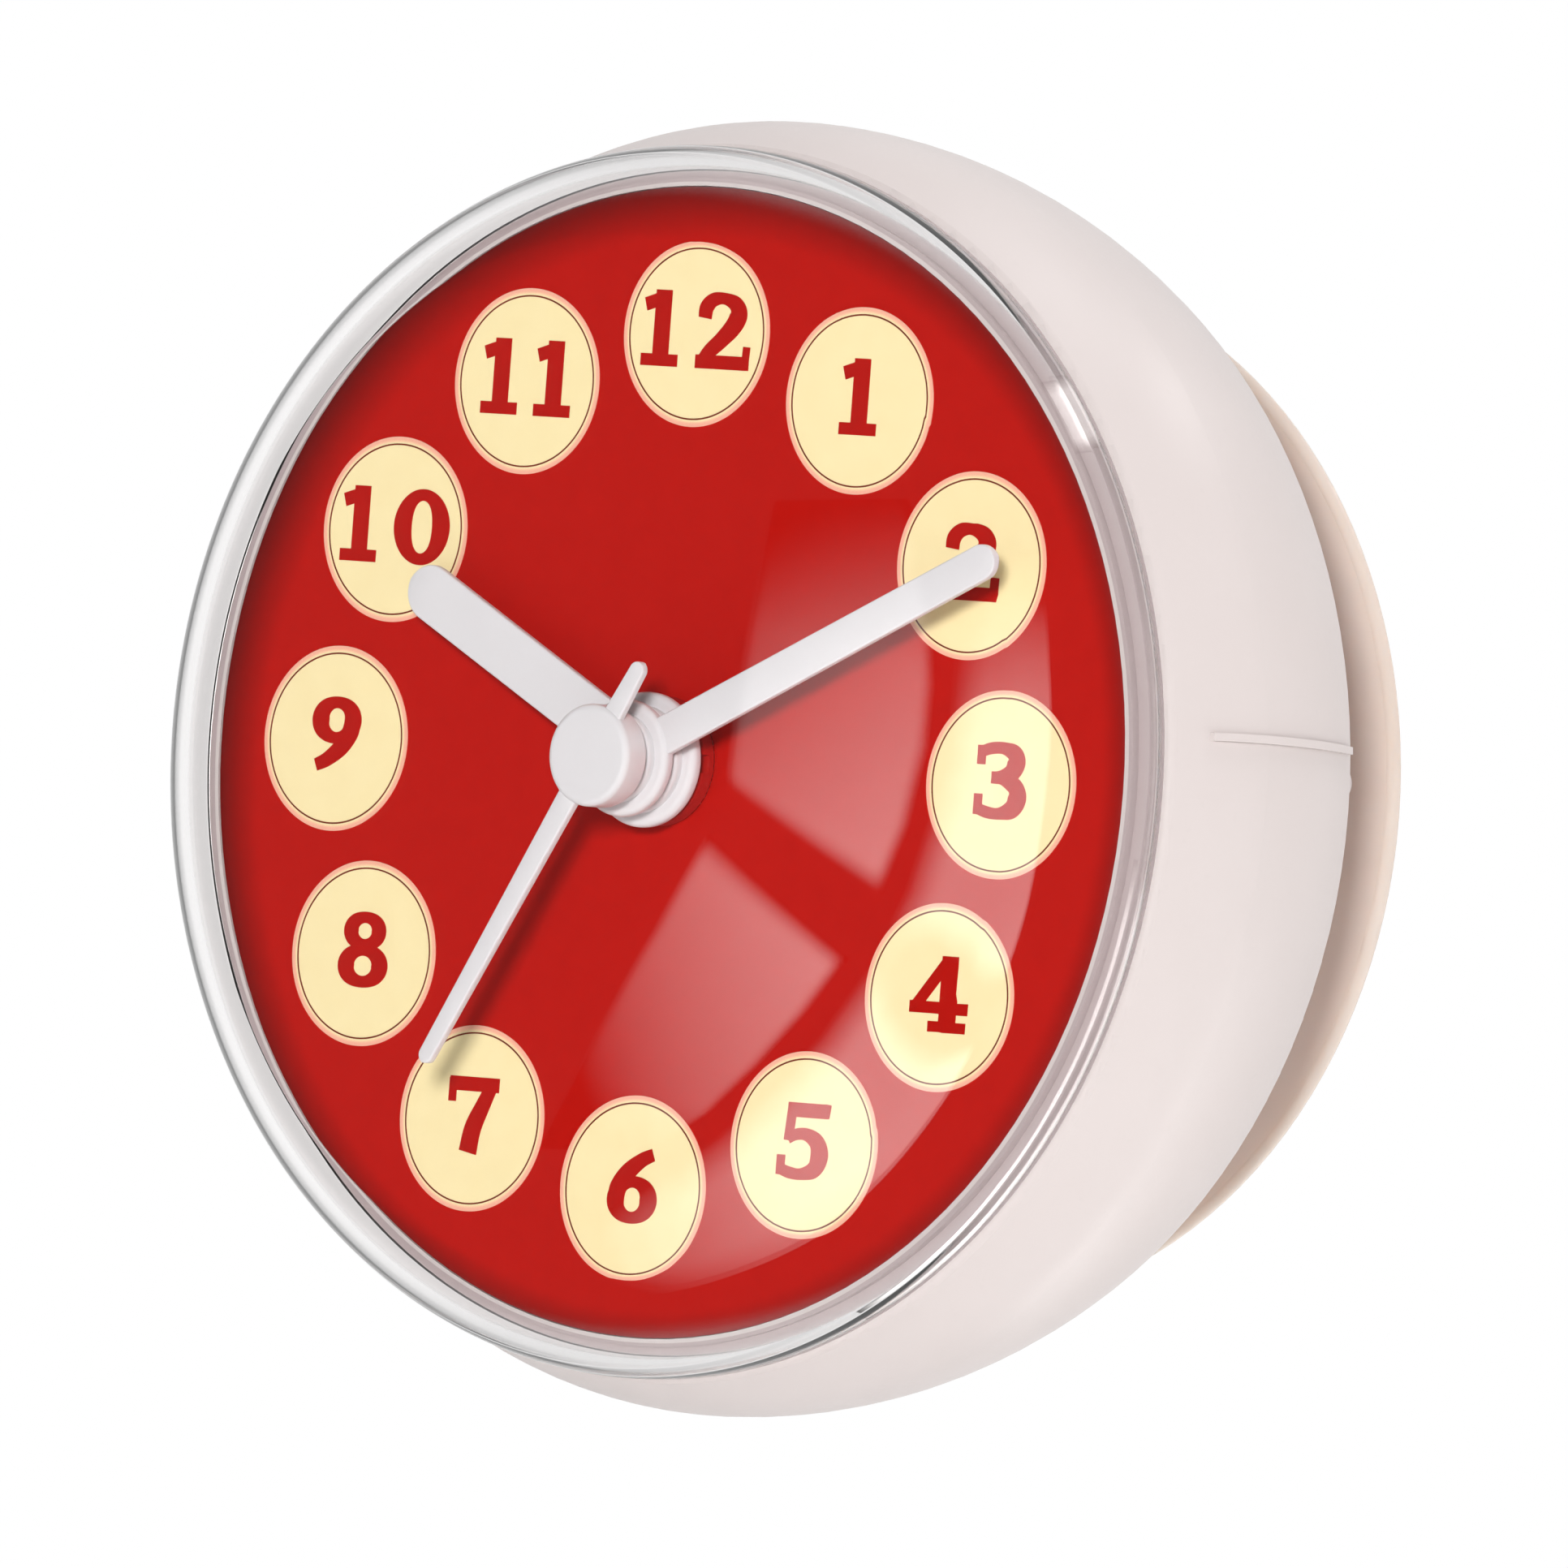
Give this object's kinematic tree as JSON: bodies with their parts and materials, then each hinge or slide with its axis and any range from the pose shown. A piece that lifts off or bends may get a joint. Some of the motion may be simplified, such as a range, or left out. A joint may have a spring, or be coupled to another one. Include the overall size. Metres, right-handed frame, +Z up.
{
  "type": "waterproof shower clock",
  "caption": "Round suction-cup wall clock with a barrel case, domed clear lens, numbered dial, three hands and a twist-off sealed back over a quartz movement.",
  "frame": {"origin": "on the dial's axis, in the plane of the wall that the suction cup's lip seals on", "axes": "+Z up through 12 o'clock, +Y into the wall, so the dial faces -Y"},
  "size_m": [0.0866, 0.0459, 0.0864],
  "materials": {
    "case_white": "moulded white plastic, soft gloss",
    "lens_clear": "clear polished plastic",
    "seal_silicone": "translucent silicone",
    "dial_red": "printed red with cream hour badges",
    "movement_black": "moulded black plastic",
    "brass_turned": "turned brass",
    "steel_bright": "bright plated steel",
    "wheel_nylon": "natural acetal",
    "magnet_grey": "sintered magnet",
    "stator_iron": "soft magnetic sheet",
    "coil_copper": "enamelled copper wire",
    "board_green": "circuit board",
    "chip_black": "black resin",
    "cell_sleeve": "plain cell sleeve, no print",
    "knob_grey": "moulded grey plastic",
    "hand_white": "moulded white plastic",
    "cover_white": "moulded white plastic",
    "cup_pvc": "soft translucent vinyl"
  },
  "bodies": {
    "back": {"rear_cover": "cover_white", "rear_gasket": "seal_silicone", "suction_cup": "cup_pvc"},
    "case": {"case_body": "case_white", "front_lens": "lens_clear", "lens_gasket": "seal_silicone", "dial_plate": "dial_red", "movement_base": "movement_black", "movement_cover": "movement_black", "center_bush": "brass_turned", "bush_washer": "steel_bright", "bush_nut": "brass_turned", "stator_plate": "stator_iron", "coil_core": "stator_iron", "coil_bobbin": "movement_black", "coil_winding": "coil_copper", "circuit_board": "board_green", "clock_chip": "chip_black", "quartz_crystal": "steel_bright", "battery": "cell_sleeve", "contact_plus": "steel_bright", "contact_minus": "steel_bright"},
    "minute_group": {"minute_hand": "hand_white", "cannon_pinion": "wheel_nylon", "center_wheel": "wheel_nylon"},
    "hour_group": {"hour_hand": "hand_white", "hour_wheel": "wheel_nylon"},
    "second_group": {"second_hand": "hand_white", "second_wheel": "wheel_nylon"},
    "third_group": {"third_wheel": "wheel_nylon"},
    "intermediate_group": {"intermediate_wheel": "wheel_nylon"},
    "rotor_group": {"rotor_pinion": "wheel_nylon", "rotor_magnet": "magnet_grey"},
    "minute_wheel_group": {"minute_wheel": "wheel_nylon"},
    "setting_group": {"setting_knob": "knob_grey"}
  },
  "joints": [
    {"name": "case_twist", "type": "hinge", "parent": "back", "child": "case", "pos_m": [0, -0.016, 0], "axis": [0, -1, 0], "range_deg": [0, 40]},
    {"name": "minute_turn", "type": "hinge", "parent": "case", "child": "minute_group", "pos_m": [0, -0.03477, 0], "axis": [0, 1, 0], "continuous": true},
    {"name": "hour_turn", "type": "hinge", "parent": "case", "child": "hour_group", "pos_m": [0, -0.03477, 0], "axis": [0, 1, 0], "continuous": true},
    {"name": "second_turn", "type": "hinge", "parent": "case", "child": "second_group", "pos_m": [0, -0.03477, 0], "axis": [0, 1, 0], "continuous": true},
    {"name": "third_turn", "type": "hinge", "parent": "case", "child": "third_group", "pos_m": [-0.00799, -0.03477, 0.00291], "axis": [0, 1, 0], "continuous": true},
    {"name": "intermediate_turn", "type": "hinge", "parent": "case", "child": "intermediate_group", "pos_m": [0.00717, -0.03477, 0.00502], "axis": [0, 1, 0], "continuous": true},
    {"name": "rotor_turn", "type": "hinge", "parent": "case", "child": "rotor_group", "pos_m": [0.01092, -0.03477, 0.01151], "axis": [0, 1, 0], "continuous": true},
    {"name": "minute_wheel_turn", "type": "hinge", "parent": "case", "child": "minute_wheel_group", "pos_m": [-0.00146, -0.03477, 0.00827], "axis": [0, 1, 0], "continuous": true},
    {"name": "setting_turn", "type": "hinge", "parent": "case", "child": "setting_group", "pos_m": [-0.00873, -0.03477, 0.01247], "axis": [0, 1, 0], "continuous": true}
  ],
  "couplings": [
    {"joint": "hour_turn", "follows": "minute_turn", "ratio": 0.083333},
    {"joint": "second_turn", "follows": "minute_turn", "ratio": 60},
    {"joint": "third_turn", "follows": "minute_turn", "ratio": -8},
    {"joint": "intermediate_turn", "follows": "minute_turn", "ratio": -360},
    {"joint": "rotor_turn", "follows": "minute_turn", "ratio": 1800},
    {"joint": "minute_wheel_turn", "follows": "minute_turn", "ratio": -0.33333},
    {"joint": "setting_turn", "follows": "minute_turn", "ratio": 1}
  ]
}
